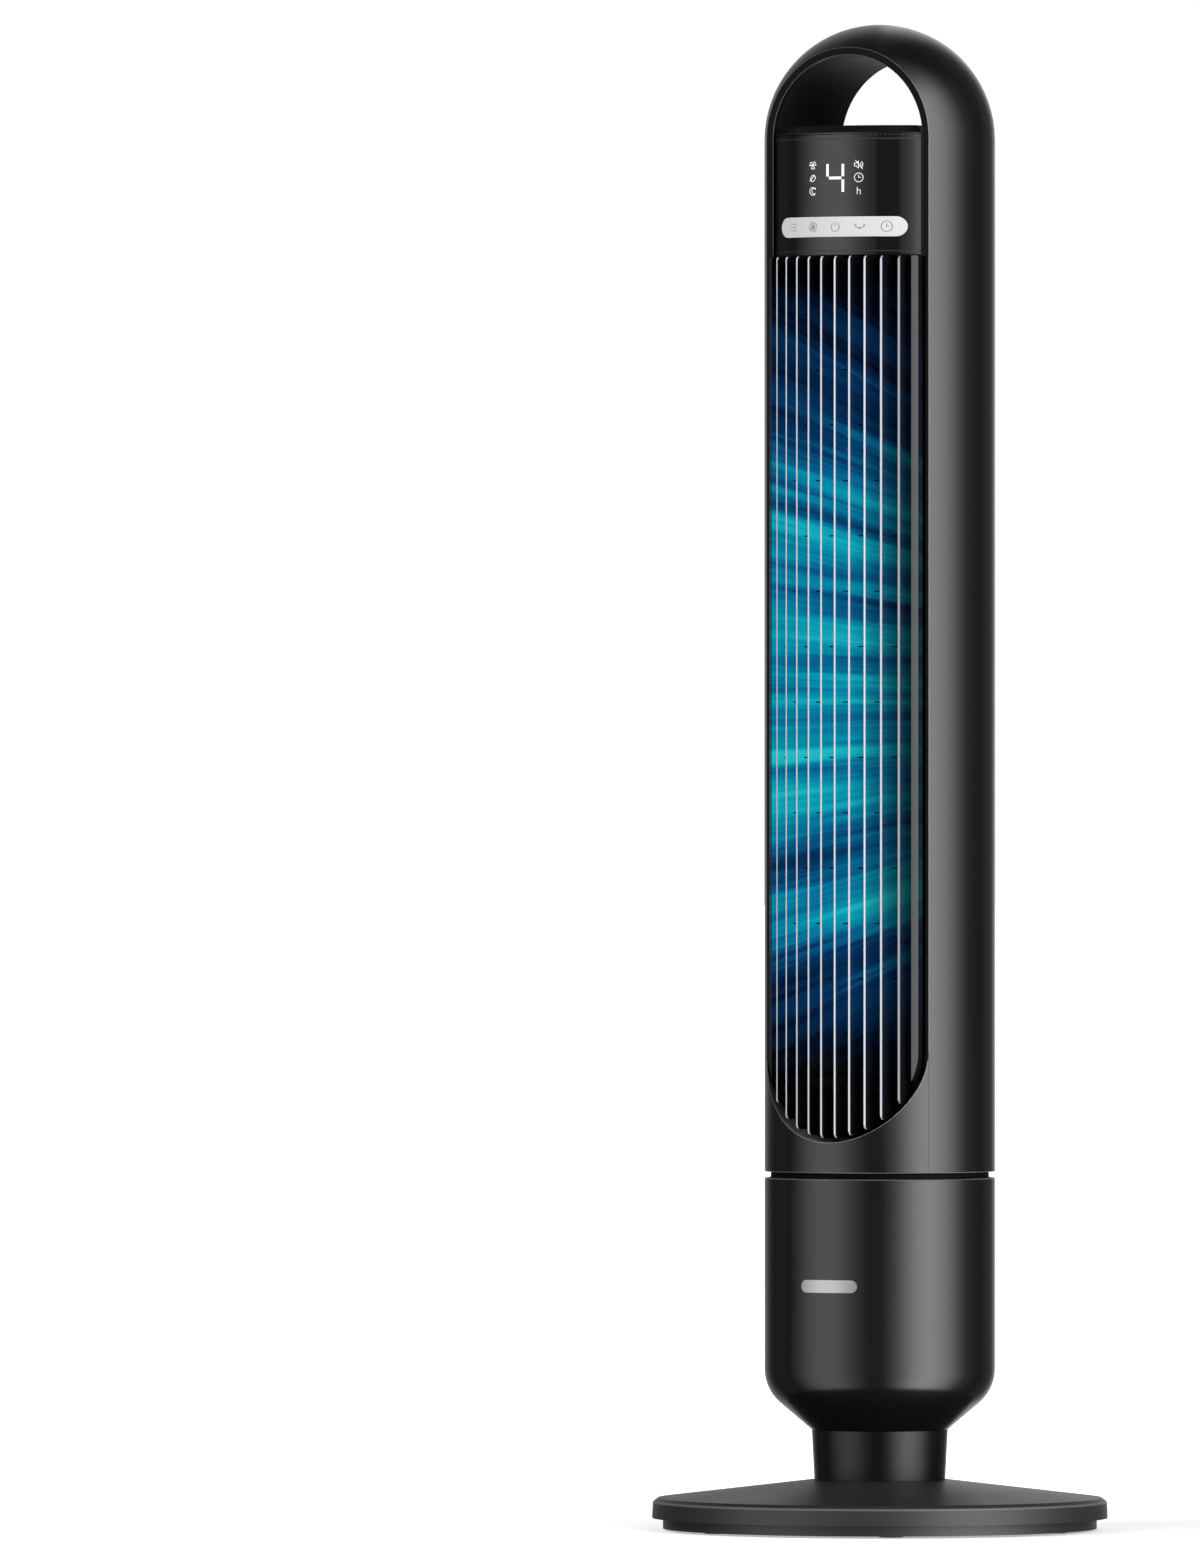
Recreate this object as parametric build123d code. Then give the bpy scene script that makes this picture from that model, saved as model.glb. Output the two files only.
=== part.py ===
from build123d import *
import math
import os

# Tower fan on a round base. Millimetres, +Z up, the front faces -Y, the origin is on the floor under the axis.

# ---- driving dimensions -------------------------------------------------------------------------------
total_height = 1070.0
body_radius = 82.0
wall = 2.8
gap = 0.3                     # between separate pieces
inner_radius = body_radius - wall

# base
base_radius = 162.0
base_rim_z = 8.5
base_shoulder = (158.0, 22.8)
base_top_z = 35.6
foot_ring_radius = 154.3
base_wall = 3.0
foot_count = 6

# neck and lower housing
neck_foot_radius = 46.6
neck_top_radius = 48.4
neck_top_z = 71.2
neck_wall = 3.0
stub_radius = 30.0
shoulder_radius = 32.0        # big round at the bottom of the lower housing
shoulder_z = 114.6            # where that round starts
shoulder_turn = 50.0          # degrees of it before the shallow cone takes over
lower_top_z = 250.5
deck_z = 238.0
deck_thickness = 4.0
collar_radius = 77.6

# tower
tower_z = 254.7
dome_z = total_height - body_radius
rim_y = -51.0                 # flat rim of the front opening
rim_depth = 4.0
rim_round = 0.7               # small round on the moulded edges
opening_half = math.sqrt(body_radius ** 2 - rim_y ** 2)
fin_pitch = 10.745
fin_count = 10
rim_inner_half = 5.5 * fin_pitch
opening_low_z = 340.5         # centre of the round lower end of the opening
plate_thickness = 4.0

# control head and handle
panel_low_z = 904.4
panel_high_z = 990.2
panel_radius = 91.0
panel_front_y = -69.7
panel_half = 57.7
panel_thickness = 2.6
handle_floor_z = 996.5
cap_height = 6.0
strip_half_height = 7.1
strip_half_length = 49.8
strip_z = 924.7

# front grille
fin_thickness = 1.6
fin_back_y = -45.0
fin_top_z = 903.9
fin_plate_radius = 61.3       # lower ends of the plates in front of the rim
rib_thickness = 1.0
rib_front_radius = 71.0
rib_top_z = 862.6
rib_pitch = 39.2
rib_rows = 15

# rear grille
grille_half_angle = 61.0      # degrees either side of straight back
grille_low_z = 272.0
grille_high_z = 908.0
grille_wall = 2.4
slot_pitch_angle = 4.4
bar_width = 2.2
grille_ring_height = 6.0
notch_angle = 63.0
notch_heights = (286.0, 530.3, 902.5)

# cross-flow impeller and its motor
impeller_radius = 38.0
impeller_low_z = 338.0
segment_length = 70.0
segment_count = 8
blade_count = 28
shaft_radius = 4.0
running_clearance = 0.05
motor_radius = 36.0
motor_low_z = 270.0
motor_cap_z = 312.0
cradle_z = 322.0

# oscillation drive
gear_module = 1.2
ring_teeth = 72
pinion_teeth = 18
pressure_angle = math.radians(20)
gear_backlash = 0.3
gear_low_z = 245.0
gear_width = 6.0
pinion_x = -gear_module * (ring_teeth + pinion_teeth) / 2
pivot_radius = 20.0
pivot_bore = 14.0
step_motor_radius = 17.5
drive_shaft_radius = 2.5


# ---- shared shapes ------------------------------------------------------------------------------------
def ring(inner, outer, low, high):
    """Upright tube between two heights; an inner radius of 0 makes a disc."""
    section = Circle(outer)
    if inner:
        section = section - Circle(inner)
    return extrude(Plane.XY.offset(low) * section, high - low)


def turned(points):
    """Solid turned about Z from a closed outline of (radius, height) points."""
    return revolve(Plane.XZ * make_face(Polyline(*points, close=True)), Axis.Z)


def block(x_low, x_high, y_low, y_high, z_low, z_high):
    box = Box(x_high - x_low, y_high - y_low, z_high - z_low)
    return Pos((x_low + x_high) / 2, (y_low + y_high) / 2, (z_low + z_high) / 2) * box


def along_y(sketch, y_front, y_back):
    """A section drawn in X and Z, made solid from y_front back to y_back."""
    return extrude(Plane.XZ.offset(-y_back) * sketch, y_back - y_front)


def along_x(sketch, x_low, x_high):
    """A section drawn in Y and Z, made solid from x_low to x_high."""
    return extrude(Plane.YZ.offset(x_low) * sketch, x_high - x_low)


def stadium(half_width, low_centre=opening_low_z, high_centre=dome_z):
    slot = SlotCenterToCenter(high_centre - low_centre, 2 * half_width, rotation=90)
    return Pos(0, (low_centre + high_centre) / 2) * slot


def around(radius, count, first=0.0):
    """Places evenly spread on a circle."""
    places = []
    for index in range(count):
        angle = math.radians(first + 360 * index / count)
        places.append((radius * math.cos(angle), radius * math.sin(angle)))
    return places


def post(x, y, low, high, radius):
    return Pos(x, y, 0) * ring(0, radius, low, high)


def screw(x, y, head_z, tip_z, head_radius=3.2, head_height=2.0, shank_radius=1.5):
    """Pan-head screw from the outside of its head to its tip, pointing up or down."""
    into = 1 if tip_z > head_z else -1
    neck_z = head_z + into * head_height
    head = post(x, y, min(head_z, neck_z), max(head_z, neck_z), head_radius)
    shank = post(x, y, min(neck_z, tip_z), max(neck_z, tip_z), shank_radius)
    recess = post(x, y, min(head_z, head_z + into * 1.2), max(head_z, head_z + into * 1.2), 1.1)
    return head + shank - recess


def holes(places, low, high, radius):
    return [post(x, y, low, high, radius) for x, y in places]


def tube_path(points, bends, radius):
    """Round wire or lead along straight runs joined by arcs."""
    path = FilletPolyline(*points, radius=bends)
    section = Plane(path @ 0, z_dir=path % 0) * Circle(radius)
    return sweep(section, path)


def write(name, shape):
    solids = shape if isinstance(shape, list) else [shape]
    body = Compound(children=[piece for item in solids for piece in item.solids()])
    export_step(body, "parts/" + name + ".step")


# ---- stand: base --------------------------------------------------------------------------------------
base_screw_places = around(120.0, 6, 30)
nut_low_z = 20.0
nut_high_z = 31.8


def cone_height(radius):
    """Height of the shallow cone on top of the base."""
    slope = (base_top_z - base_shoulder[1]) / (base_shoulder[0] - 50.0)
    return min(base_top_z, base_shoulder[1] + slope * (base_shoulder[0] - radius))


def make_base_cover():
    rim_top = (161.5, 20.0)
    outer = turned([
        (0, base_rim_z), (base_radius, base_rim_z), rim_top, base_shoulder,
        (50.0, base_top_z), (0, base_top_z),
    ])
    rim_edges = outer.edges().filter_by(GeomType.CIRCLE).filter_by(
        lambda edge: edge.radius > base_shoulder[0] - 1 and edge.center().Z > base_rim_z + 1)
    outer = fillet(rim_edges, 0.8)
    inner = turned([
        (0, base_rim_z), (base_radius - base_wall, base_rim_z), (rim_top[0] - base_wall, 18.6),
        (base_shoulder[0] - 2.0, base_shoulder[1] - base_wall), (50.0, base_top_z - base_wall),
        (0, base_top_z - base_wall),
    ])
    cover = outer - inner - ring(0, stub_radius + gap, 0, total_height)
    boss_top = cone_height(120.0) - 1.5
    cover = cover + [post(x, y, 6.3, boss_top, 4.5) for x, y in base_screw_places]
    return cover - holes(base_screw_places, 0, 16.0, 1.6)


def make_base_bottom_plate():
    plate = turned([
        (0, 3.5), (151.3, 3.5), (151.3, 1.0), (foot_ring_radius, 1.0),
        (foot_ring_radius, base_rim_z + 0.1), (158.7, base_rim_z + 0.1), (158.7, 10.8),
        (151.3, 10.8), (151.3, 6.0), (0, 6.0),
    ])
    return plate - ring(0, 42.0, 0, 10) - holes(base_screw_places, 0, 10, 1.7)


def make_ballast_plate():
    plate = ring(46.0, 112.0, 10.0, 16.0)
    return fillet(plate.edges().filter_by(GeomType.CIRCLE), 0.8)


def make_rubber_feet():
    pads = []
    for x, y in around(138.0, foot_count):
        pad = post(x, y, 0, 3.4, 9.0)
        bottom_edge = pad.edges().sort_by(Axis.Z)[0]
        pads.append(fillet(bottom_edge, 1.0))
    return pads


def make_neck_tube():
    outer = turned([
        (0, base_top_z + 0.1), (neck_foot_radius, base_top_z + 0.1), (neck_top_radius, neck_top_z - 0.1),
        (0, neck_top_z - 0.1),
    ])
    inner = turned([
        (0, base_top_z + 4.0), (neck_foot_radius - neck_wall, base_top_z + 4.0),
        (neck_top_radius - neck_wall, neck_top_z - 4.0), (0, neck_top_z - 4.0),
    ])
    stub = ring(stub_radius - neck_wall, stub_radius, 12.0, base_top_z + 2.0)
    bore = ring(0, stub_radius - neck_wall, 0, total_height)
    return outer - inner + stub - bore - holes(neck_screw_places, 60, 80, 1.7)


def make_neck_nut():
    nut = ring(stub_radius + 0.2, 40.0, nut_low_z, nut_high_z)
    grips = [post(x, y, 0, 50, 3.0) for x, y in around(41.5, 12)]
    return nut - grips


# ---- stand: lower housing and the deck that carries the tower ---------------------------------------------
neck_screw_places = around(37.0, 4, 45)
deck_screw_places = around(63.0, 4, 45)
board_y = 40.0
board_x = 38.0
board_rows = (116.0, 182.0)
gland_z = 130.0
gland_radius = 7.0
board_places = [(x, z) for x in (-board_x, board_x) for z in board_rows]


def lower_outline(offset):
    """Closed half-outline of the lower housing, moved in by an offset."""
    turn = math.radians(shoulder_turn)
    centre_r = body_radius - shoulder_radius
    radius = shoulder_radius - offset
    start = (centre_r + radius, shoulder_z)
    middle = (centre_r + radius * math.cos(turn / 2), shoulder_z - radius * math.sin(turn / 2))
    end = (centre_r + radius * math.cos(turn), shoulder_z - radius * math.sin(turn))
    foot = (neck_top_radius - 0.55 * offset, neck_top_z + offset)
    top = lower_top_z + 5 * offset
    side = Line((start[0], top), start)
    big_round = ThreePointArc(start, middle, end)
    cone = TangentArc(end, foot, tangent=(-math.sin(turn), -math.cos(turn)))
    rest = Polyline(foot, (0, foot[1]), (0, top), (start[0], top))
    return make_face(side + big_round + cone + rest)


def gland_axis(low_y, high_y, radius):
    return along_y(Pos(0, gland_z) * Circle(radius), low_y, high_y)


def make_lower_housing():
    outer = revolve(Plane.XZ * lower_outline(0), Axis.Z)
    inner = revolve(Plane.XZ * lower_outline(wall), Axis.Z)
    housing = outer - inner - ring(0, 27.0, 0, 100)
    top_edge = housing.edges().filter_by(GeomType.CIRCLE).sort_by(Axis.Z)[-2:].sort_by(SortBy.RADIUS)[-1]
    housing = fillet(top_edge, 0.7)
    bosses = []
    for x, y in deck_screw_places:
        angle = math.degrees(math.atan2(y, x))
        bosses.append(post(x, y, 196.0, deck_z - 0.1, 4.0))
        bosses.append(Rot(0, 0, angle) * block(63.0, inner_radius + 1, -1.5, 1.5, 196.0, deck_z - 0.1))
    for x, z in board_places:
        bosses.append(along_y(Pos(x, z) * Circle(3.5), board_y + 1.8, 71.0))
    housing = housing + bosses
    housing = housing - holes(deck_screw_places, 200, 250, 1.4)
    housing = housing - [along_y(Pos(x, z) * Circle(1.2), board_y, 52.0) for x, z in board_places]
    return housing - holes(neck_screw_places, 60, 90, 1.4) - gland_axis(40, 100, gland_radius + 0.1)


def make_cord_gland():
    barrel = gland_axis(74.0, 84.0, gland_radius)
    collar = gland_axis(74.0, 78.2, gland_radius + 2.0)
    outer = revolve(Plane.XZ * lower_outline(-1.2), Axis.Z)
    return (barrel & outer) + collar - gland_axis(40, 100, 3.7)


def make_badge():
    """Plain rounded name-plate blank that follows the housing."""
    plate = along_y(Pos(0, 174.7) * SlotOverall(44.0, 9.0), -90, -70)
    return plate & ring(body_radius + 0.05, body_radius + 0.85, 160, 190)


def make_turntable_deck():
    hub_low = deck_z - 4.0
    deck_top = deck_z + deck_thickness
    deck = turned([
        (pivot_radius + 0.08, hub_low), (30.0, hub_low), (30.0, deck_z), (inner_radius - gap, deck_z),
        (inner_radius - gap, deck_top), (collar_radius, deck_top), (collar_radius, tower_z - 0.8),
        (74.5, tower_z - 0.8), (74.5, 250.0), (69.0, 250.0), (69.0, deck_top),
        (pivot_radius + 0.08, deck_top),
    ])
    deck = deck - holes(deck_screw_places, 200, 250, 1.7)
    deck = deck - post(pinion_x, 0, 200, 250, 6.0)
    return deck - holes(step_motor_places, 200, 240.5, 1.4)


def make_glide_ring():
    return ring(69.8, 74.3, 250.1, tower_z - gap)


step_motor_places = [(pinion_x, -21.0), (pinion_x, 21.0)]
step_motor_low_z = 219.0


def make_oscillation_motor():
    top = deck_z - 0.1
    can = post(pinion_x, 0, step_motor_low_z, top, step_motor_radius)
    can = fillet(can.edges().sort_by(Axis.Z)[0], 1.5)
    ear = Pos(pinion_x, 0) * SlotCenterToCenter(42.0, 8.0, rotation=90)
    ears = extrude(Plane.XY.offset(top - 1.5) * ear, 1.5)
    plug = block(pinion_x - 8, pinion_x + 8, step_motor_radius - 1, step_motor_radius + 5, 222, 230)
    motor = can + ears + plug
    motor = motor - post(pinion_x, 0, step_motor_low_z + 2, 250, drive_shaft_radius + running_clearance)
    return motor - holes(step_motor_places, 200, 250, 1.7)


def make_power_board():
    board = block(-45, 45, board_y, board_y + 1.6, 108, 190)
    return board - [along_y(Pos(x, z) * Circle(1.6), board_y - 5, board_y + 5) for x, z in board_places]


def make_transformer():
    core = block(-36, -8, board_y - 24.2, board_y - 0.1, 126, 154)
    coil = block(-32, -12, board_y - 27, board_y - 4, 130, 150)
    return fillet((core + coil).edges().filter_by(Axis.Y), 1.0)


def make_capacitors():
    cans = []
    for x, z, radius, length in ((14, 136, 8, 22), (33, 140, 6, 16), (14, 162, 5, 14), (-6, 178, 5, 12)):
        can = along_y(Pos(x, z) * Circle(radius), board_y - 0.1 - length, board_y - 0.1)
        cans.append(fillet(can.edges().sort_by(Axis.Y)[0], 0.8))
    return cans


def make_power_board_screws():
    head_y = board_y - 2.1
    screws = []
    for x, z in board_places:
        head = along_y(Pos(x, z) * Circle(3.0), head_y, head_y + 2.0)
        shank = along_y(Pos(x, z) * Circle(1.15), head_y + 2.0, board_y + 10)
        screws.append(head + shank - along_y(Pos(x, z) * Circle(1.0), head_y, head_y + 1.2))
    return screws


# ---- oscillation drive ------------------------------------------------------------------------------------
def gear_outline(teeth):
    """Involute spur gear outline, thinned on both flanks by half the backlash."""
    pitch_r = gear_module * teeth / 2
    base_r = pitch_r * math.cos(pressure_angle)
    root_r = pitch_r - 1.25 * gear_module
    tip_r = pitch_r + gear_module
    involute = math.tan(pressure_angle) - pressure_angle
    half_at_pitch = math.pi / (2 * teeth) - gear_backlash / (2 * pitch_r)
    flank = []
    steps = 4
    first_r = max(base_r, root_r)
    for step in range(steps + 1):
        radius = first_r + (tip_r - first_r) * step / steps
        roll = math.acos(base_r / radius)
        flank.append((radius, half_at_pitch + involute - (math.tan(roll) - roll)))
    if base_r > root_r:
        flank.insert(0, (root_r, flank[0][1]))
    points = []
    for tooth in range(teeth):
        centre = 2 * math.pi * tooth / teeth
        for radius, half in flank:
            points.append((radius * math.cos(centre - half), radius * math.sin(centre - half)))
        for radius, half in reversed(flank):
            points.append((radius * math.cos(centre + half), radius * math.sin(centre + half)))
    return make_face(Polyline(*points, close=True))


def make_ring_gear():
    gear = extrude(Plane.XY.offset(gear_low_z) * gear_outline(ring_teeth), gear_width)
    gear = gear - ring(0, pivot_radius + 0.2, 200, 300)
    return gear - holes(ring_screw_places, 200, 300, 1.7)


def make_oscillation_pinion():
    half_tooth = 180 / pinion_teeth
    gear = extrude(Plane.XY.offset(gear_low_z) * gear_outline(pinion_teeth), gear_width)
    gear = Rot(0, 0, half_tooth) * gear
    gear = gear + ring(0, 5.0, gear_low_z - 2.0, gear_low_z) - ring(0, drive_shaft_radius, 200, 300)
    return Pos(pinion_x, 0, 0) * gear


def make_pinion_shaft():
    return post(pinion_x, 0, step_motor_low_z + 2.5, gear_low_z + gear_width, drive_shaft_radius)


ring_screw_places = around(27.0, 3, 90)
retainer_screw_places = around(17.0, 3, 30)


def make_pivot_tube():
    flange_low = gear_low_z + gear_width + 0.1
    tube = ring(pivot_bore, pivot_radius, 233.8, tower_z - 0.1)
    flange = ring(pivot_bore, 34.0, flange_low, tower_z - 0.1)
    tube = tube + flange - holes(ring_screw_places, 240, 300, 1.7)
    return tube - holes(retainer_screw_places, 225, 246, 1.2)


def make_pivot_retainer():
    return ring(pivot_bore, 26.0, 230.2, deck_z - 4.3) - holes(retainer_screw_places, 200, 300, 1.6)


# ---- tower: floor, motor and cradle -----------------------------------------------------------------------
floor_screw_places = around(64.0, 4, 45)
cradle_leg_places = around(58.0, 3, 90)
mount_places = around(45.0, 3, 90)
harness_place = (-62.0, 30.0)
floor_top_z = tower_z + plate_thickness


def make_tower_floor():
    floor = ring(pivot_bore, inner_radius - gap, tower_z, floor_top_z)
    floor = floor - holes(floor_screw_places, 200, 300, 1.7)
    floor = floor - holes(floor_screw_places, tower_z - 1, tower_z + 2.3, 3.5)
    floor = floor - holes(ring_screw_places, 200, 300, 1.3)
    return floor - holes(cradle_leg_places, 200, 300, 1.7)


def make_motor_cradle():
    plate = ring(10.0, 74.0, cradle_z, cradle_z + 3.5) - block(-100, 100, -100, -42.5, 0, 1000)
    legs = [post(x, y, floor_top_z + 0.1, cradle_z + 1, 4.5) for x, y in cradle_leg_places]
    cradle = plate + legs
    cradle = cradle - holes(mount_places, 300, 340, 2.0)
    cradle = cradle - post(harness_place[0], harness_place[1], 300, 340, 4.0)
    return cradle - holes(cradle_leg_places, 200, 275, 1.4)


def make_motor_case():
    low = motor_low_z
    case = turned([
        (shaft_radius + running_clearance, low - 2.0), (9.0, low - 2.0), (11.0, low), (motor_radius, low),
        (motor_radius, motor_cap_z), (motor_radius - 2, motor_cap_z), (motor_radius - 2, low + 2.5),
        (shaft_radius + running_clearance, low + 2.5),
    ])
    bottom_edge = case.edges().filter_by(GeomType.CIRCLE).filter_by(
        lambda edge: abs(edge.radius - motor_radius) < 0.1 and edge.center().Z < low + 0.1)
    case = fillet(bottom_edge, 3.0)
    vents = [Rot(0, 0, 30 * index) * block(16, 28, -2, 2, low - 5, low + 5) for index in range(12)]
    return case - vents


def make_motor_end_cap():
    cap = ring(shaft_radius + running_clearance, motor_radius, motor_cap_z + 0.1, motor_cap_z + 3.0)
    cap = cap + ring(shaft_radius + running_clearance, 9.0, motor_cap_z + 0.1, motor_cap_z + 6.0)
    for x, y in mount_places:
        angle = math.degrees(math.atan2(y, x))
        cap = cap + Rot(0, 0, angle) * block(33, 50, -6, 6, motor_cap_z + 0.1, motor_cap_z + 3.0)
    return cap - holes(mount_places, 300, 330, 2.0)


def make_motor_stator():
    stator = ring(20.6, motor_radius - 2.1, 277, 305)
    slots = [Rot(0, 0, 30 * index) * block(19, 29, -1.4, 1.4, 270, 310) for index in range(12)]
    return stator - slots


def make_motor_windings():
    return [ring(23, 33, 273.2, 276.9), ring(23, 33, 305.1, 310.5)]


def make_motor_mounts():
    bushes = []
    for x, y in mount_places:
        bush = post(x, y, motor_cap_z + 3.1, cradle_z - 0.1, 5.5)
        bushes.append(fillet(bush.edges(), 1.2) - post(x, y, 300, 330, 2.0))
    return bushes


# ---- impeller body ----------------------------------------------------------------------------------------
impeller_high_z = impeller_low_z + segment_length * segment_count
disc_thickness = 2.0
blade_inner_radius = 30.0


def blade_section():
    """One forward-curved blade between the inner and outer radius."""
    lead = math.radians(9)
    outer = impeller_radius - 0.6
    middle = (blade_inner_radius + outer) / 2
    start = (blade_inner_radius, 0)
    bow = (middle * math.cos(lead * 0.22), middle * math.sin(lead * 0.22))
    end = (outer * math.cos(lead), outer * math.sin(lead))
    return trace(ThreePointArc(start, bow, end), 1.0)


def make_impeller():
    pieces = []
    for segment in range(segment_count):
        low = impeller_low_z + segment * segment_length
        turn = 3.6 * segment
        for index in range(blade_count):
            section = Rot(0, 0, turn + 360 * index / blade_count) * blade_section()
            pieces.append(extrude(Plane.XY.offset(low + 1) * section, segment_length - 1))
        if segment:
            pieces.append(ring(blade_inner_radius - 2, impeller_radius, low, low + disc_thickness))
    end_low = impeller_low_z
    end_high = impeller_high_z
    lower_end = ring(10.2, impeller_radius, end_low, end_low + disc_thickness)
    upper_end = ring(shaft_radius, impeller_radius, end_high - disc_thickness, end_high)
    boss = ring(shaft_radius, 9.0, end_high - 12, end_high)
    lower_boss = ring(10.2, 13.0, end_low, end_low + 12)
    return pieces[0] + pieces[1:] + [lower_end, upper_end, boss, lower_boss]


def make_impeller_hub():
    hub = ring(shaft_radius, 10.0, impeller_low_z - 9, impeller_low_z + 12)
    grub = Pos(0, 0, impeller_low_z - 4.5) * Rot(0, 90, 0) * Cylinder(1.6, 30)
    return hub - grub


def make_impeller_pin():
    return ring(0, shaft_radius, impeller_high_z - 12, impeller_high_z + 11)


def make_motor_shaft():
    return ring(0, shaft_radius, motor_low_z - 4, impeller_low_z + 11)


def make_motor_rotor():
    rotor = ring(shaft_radius, 20.0, 277.5, 304.5)
    return rotor + ring(shaft_radius, 8.0, 275, 307)


# ---- tower: air duct and upper bearing --------------------------------------------------------------------
duct_low_z = cradle_z + 4.0
duct_high_z = 902.5
bearing_plate_z = 903.5


def make_scroll_wall():
    front = ThreePointArc((58.0, -43.0), (50.5, -20.0), (46.0, 4.0))
    back = ThreePointArc((46.0, 4.0), (38.0, 32.0), (12.0, 51.0))
    section = trace(front + back, 2.0)
    return extrude(Plane.XY.offset(duct_low_z) * section, duct_high_z - duct_low_z)


def make_stabiliser():
    outline = Polyline((-58.0, -43.0), (-44.0, -20.0), (-41.5, -8.0), (-44.5, -6.0), (-58.0, -16.0),
                       close=True)
    wedge = extrude(Plane.XY.offset(duct_low_z) * make_face(outline), duct_high_z - duct_low_z)
    hollow = Polyline((-56.0, -34.0), (-47.0, -19.0), (-46.0, -12.0), (-56.0, -19.0), close=True)
    core = extrude(Plane.XY.offset(duct_low_z + 2) * make_face(hollow), duct_high_z - duct_low_z)
    return wedge - core


def make_bearing_plate():
    plate = ring(12.1, 72.0, bearing_plate_z, bearing_plate_z + 2.5)
    tabs = block(-78.6, 78.6, -16, 4, bearing_plate_z, bearing_plate_z + 2.5) & ring(20, 78.9, 0, 1000)
    plate = plate + tabs - block(-100, 100, -100, -42.5, 0, 1100)
    plate = plate - post(harness_place[0], harness_place[1], 900, 910, 4.0)
    pocket = ring(12.1, 15.0, bearing_plate_z - 3, bearing_plate_z + 6)
    lid = ring(0, 15.0, bearing_plate_z + 6, bearing_plate_z + 8)
    return plate + pocket + lid


def make_bearing_rubber():
    return ring(8.1, 12.0, bearing_plate_z - 3, bearing_plate_z + 5.5)


def make_upper_bearing():
    bush = ring(shaft_radius + running_clearance, 8.0, bearing_plate_z - 3, bearing_plate_z + 5.5)
    return bush


# ---- tower: housing, handle and grilles -------------------------------------------------------------------
def capsule(radius, low):
    """Upright round bar with a half-ball top."""
    bar = ring(0, radius, low, dome_z)
    ball = Pos(0, 0, dome_z) * Sphere(radius)
    return bar + (ball & block(-100, 100, -100, 100, dome_z, total_height + 10))


def tunnel(radius, floor_z, y_front, y_back):
    """The round handle opening above a flat floor."""
    above = Pos(0, floor_z + 50) * Rectangle(300, 100)
    return along_y((Pos(0, dome_z) * Circle(radius)) & above, y_front, y_back)


def rear_sector(inner, outer, half_angle, low, high):
    """Curved panel centred on straight back."""
    reach = 200.0
    side = reach * math.tan(math.radians(half_angle / 2))
    wedge_half = math.radians(half_angle)
    tip = (0, 0)
    left = (-reach * math.sin(wedge_half), reach * math.cos(wedge_half))
    right = (reach * math.sin(wedge_half), reach * math.cos(wedge_half))
    outline = Polyline(tip, left, (-side, reach), (side, reach), right, close=True)
    section = (Circle(outer) - Circle(inner)) & make_face(outline)
    return extrude(Plane.XY.offset(low) * section, high - low)


def radial_plane(angle, radius, height):
    """Plane facing outwards, at an angle from straight back."""
    turn = math.radians(angle)
    out = (math.sin(turn), math.cos(turn), 0)
    return Plane(origin=(radius * out[0], radius * out[1], height), x_dir=(0, 0, 1), z_dir=out)


def notch_planes(radius):
    planes = []
    for height in notch_heights:
        for side in (-1, 1):
            planes.append(radial_plane(side * notch_angle, radius, height))
    return planes


def make_tower_housing():
    housing = capsule(body_radius, tower_z) - capsule(inner_radius, tower_z - 10)
    lower_half = Pos(0, 200 + opening_low_z - 200) * Rectangle(300, 400, align=(Align.CENTER, Align.MAX))
    scoop = (stadium(opening_half + 2.4) - stadium(rim_inner_half)) & lower_half
    scoop = along_y(scoop, -90, rim_y + rim_depth)
    flange = along_y(stadium(opening_half + 2.4) - stadium(rim_inner_half), rim_y, rim_y + rim_depth)
    inside = capsule(body_radius - 0.5, tower_z + 1)
    bosses = []
    for x, y in floor_screw_places:
        angle = math.degrees(math.atan2(y, x))
        bosses.append(post(x, y, floor_top_z + 0.1, 276.0, 4.0))
        bosses.append(Rot(0, 0, angle) * block(64.0, inner_radius + 1, -1.5, 1.5, floor_top_z + 0.1, 276.0))
    housing = housing + [scoop & inside, flange & inside] + bosses
    housing = housing - along_y(stadium(opening_half), -90, rim_y)
    housing = housing - along_y(stadium(rim_inner_half), -90, rim_y + rim_depth)
    foot_edge = housing.edges().filter_by(
        lambda edge: abs(edge.center().Z - tower_z) < 0.05 and edge.bounding_box().size.X > 2 * inner_radius + 1)
    housing = fillet(foot_edge, rim_round)
    rim_edges = housing.edges().filter_by(
        lambda edge: abs(edge.center().Y - rim_y) < 0.05 and edge.bounding_box().size.Y < 0.05
        and abs(edge.bounding_box().max.X) < rim_inner_half + 0.2 and abs(edge.bounding_box().min.X) < rim_inner_half + 0.2)
    housing = fillet(rim_edges, rim_round)
    housing = housing - tunnel(rim_inner_half + 2.4, handle_floor_z, rim_y + rim_depth, 90)
    housing = housing - rear_sector(60, 100, grille_half_angle, grille_low_z, grille_high_z)
    housing = housing - holes(floor_screw_places, 250, 272, 1.4)
    recess = [extrude(plane * SlotOverall(11.5, 8.0), 5) for plane in notch_planes(body_radius - 1.2)]
    shank_holes = [extrude(plane * Circle(1.7), 20) for plane in notch_planes(70)]
    return housing - recess - shank_holes


def make_handle_liner():
    tube = tunnel(rim_inner_half + 2.2, 986.0, rim_y + rim_depth + 0.8, 90)
    tube = tube - tunnel(rim_inner_half, 980.0, -90, 95)
    tube = tube & (Pos(0, 0, dome_z) * Sphere(body_radius))
    front_part = block(-100, 100, -100, 100, handle_floor_z + 0.3, 1100)
    low_part = block(-100, 100, -100, 45, 900, handle_floor_z + 0.4)
    return tube & (front_part + low_part) & capsule(body_radius, 900)


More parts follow.
